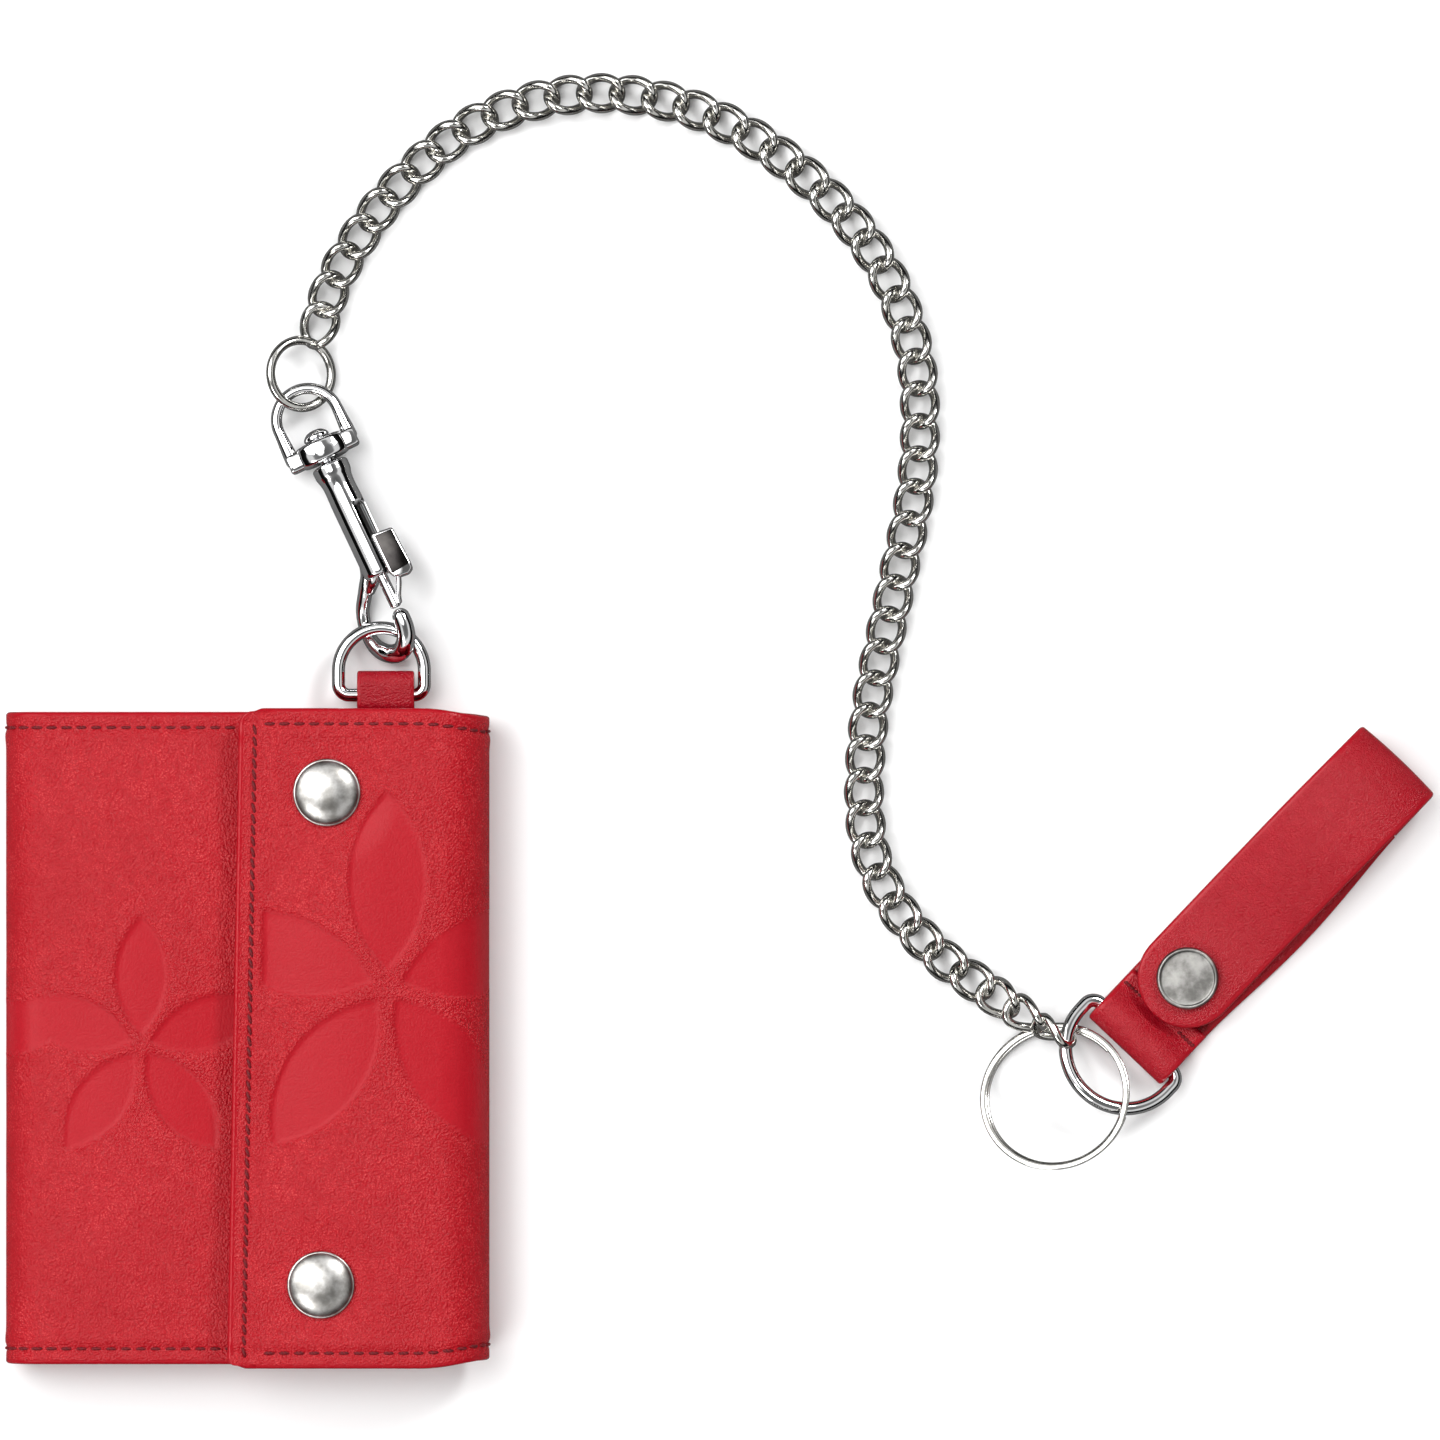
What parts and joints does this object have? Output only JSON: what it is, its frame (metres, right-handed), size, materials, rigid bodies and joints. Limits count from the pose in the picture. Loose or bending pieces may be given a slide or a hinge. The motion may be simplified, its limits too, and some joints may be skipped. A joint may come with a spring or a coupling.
{
  "type": "chain wallet",
  "caption": "Trifold leather wallet with press snaps, tab ring, swivel snap hook, curb chain, split key ring and snap-closed belt loop.",
  "frame": {"origin": "centre of the wallet's back face, on the surface that it lies on", "axes": "+X across the closed wallet towards the flap's fold, +Y up the wallet towards the tab, +Z out of the flap"},
  "size_m": [0.2647, 0.2376, 0.0202],
  "materials": {
    "red_leather": "pebble grain, semi-gloss",
    "red_lining": "smooth, matt",
    "chrome": "polished",
    "nickel": "bright nickel plate",
    "snap_metal": "satin",
    "spring_steel": "plain wire"
  },
  "bodies": {
    "root": {"back_leather": "red_leather", "left_spine": "red_leather", "right_spine": "red_leather", "back_lining": "red_lining", "bill_divider": "red_lining", "card_pocket_wide": "red_lining", "card_pocket_narrow": "red_lining", "tab_strap": "red_leather", "wallet_d_ring": "chrome", "hook_body": "chrome", "bolt_spring": "spring_steel", "swivel_rivet": "chrome", "chain": "nickel", "belt_strap_lower": "red_leather", "belt_strap_bend": "red_leather", "belt_snap_stud": "snap_metal", "belt_snap_rivet": "snap_metal"},
    "panel": {"inner_leather": "red_leather", "inner_lining": "red_lining", "inner_pocket_wide": "red_lining", "inner_pocket_narrow": "red_lining", "snap_stud_upper": "snap_metal", "snap_stud_lower": "snap_metal", "snap_rivet_upper": "snap_metal", "snap_rivet_lower": "snap_metal"},
    "flap": {"flap_leather": "red_leather", "flap_lining": "red_lining", "snap_cap_upper": "snap_metal", "snap_cap_lower": "snap_metal", "snap_socket_upper": "snap_metal", "snap_socket_lower": "snap_metal"},
    "trigger": {"trigger_bolt": "chrome"},
    "bail": {"swivel_bail": "chrome"},
    "link_ring": {"jump_ring": "nickel"},
    "strap_ring": {"strap_d_ring": "chrome"},
    "keys_ring": {"key_ring": "chrome"},
    "loop_strap": {"belt_strap_upper": "red_leather", "belt_snap_cap": "snap_metal", "belt_snap_socket": "snap_metal"}
  },
  "joints": [
    {"name": "flap_fold", "type": "hinge", "parent": "root", "child": "flap", "pos_m": [0.0475, 0, 0.0089], "axis": [0, 1, 0], "range_deg": [0, 174], "deforming": ["right_spine"]},
    {"name": "panel_fold", "type": "hinge", "parent": "root", "child": "panel", "pos_m": [-0.0435, 0, 0.0065], "axis": [0, -1, 0], "range_deg": [0, 61], "deforming": ["left_spine"]},
    {"name": "trigger_slide", "type": "slide", "parent": "root", "child": "trigger", "axis": [-0.4267, 0.9002, -0.0872], "range_m": [0, 0.006], "stiffness_N_per_m": 120, "springref_m": -0.003, "deforming": ["bolt_spring"]},
    {"name": "bail_swivel", "type": "hinge", "parent": "root", "child": "bail", "pos_m": [0.0137, 0.1089, 0.0048], "axis": [0.4267, -0.9002, 0.0872], "range_deg": [-35, 35]},
    {"name": "jump_ring_turn", "type": "hinge", "parent": "bail", "child": "link_ring", "pos_m": [0.0098, 0.1229, 0.00397], "axis": [0.4514, 0.0575, 0.8905], "continuous": true},
    {"name": "strap_ring_swing", "type": "hinge", "parent": "root", "child": "strap_ring", "pos_m": [0.1645, 0.0001, 0.0034], "axis": [0.7258, -0.6879, 0], "range_deg": [0, 20], "deforming": ["chain"]},
    {"name": "key_ring_turn", "type": "hinge", "parent": "strap_ring", "child": "keys_ring", "pos_m": [0.1495, -0.0109, 0.00588], "axis": [-0.1911, 0.2783, 0.9413], "continuous": true},
    {"name": "belt_loop_open", "type": "hinge", "parent": "root", "child": "loop_strap", "pos_m": [0.20867, 0.04665, 0.00645], "axis": [-0.7258, 0.6879, 0], "range_deg": [0, 110], "deforming": ["belt_strap_bend"]}
  ],
  "couplings": [
    {"joint": "panel_fold", "follows": "flap_fold", "ratio": 0.35}
  ]
}
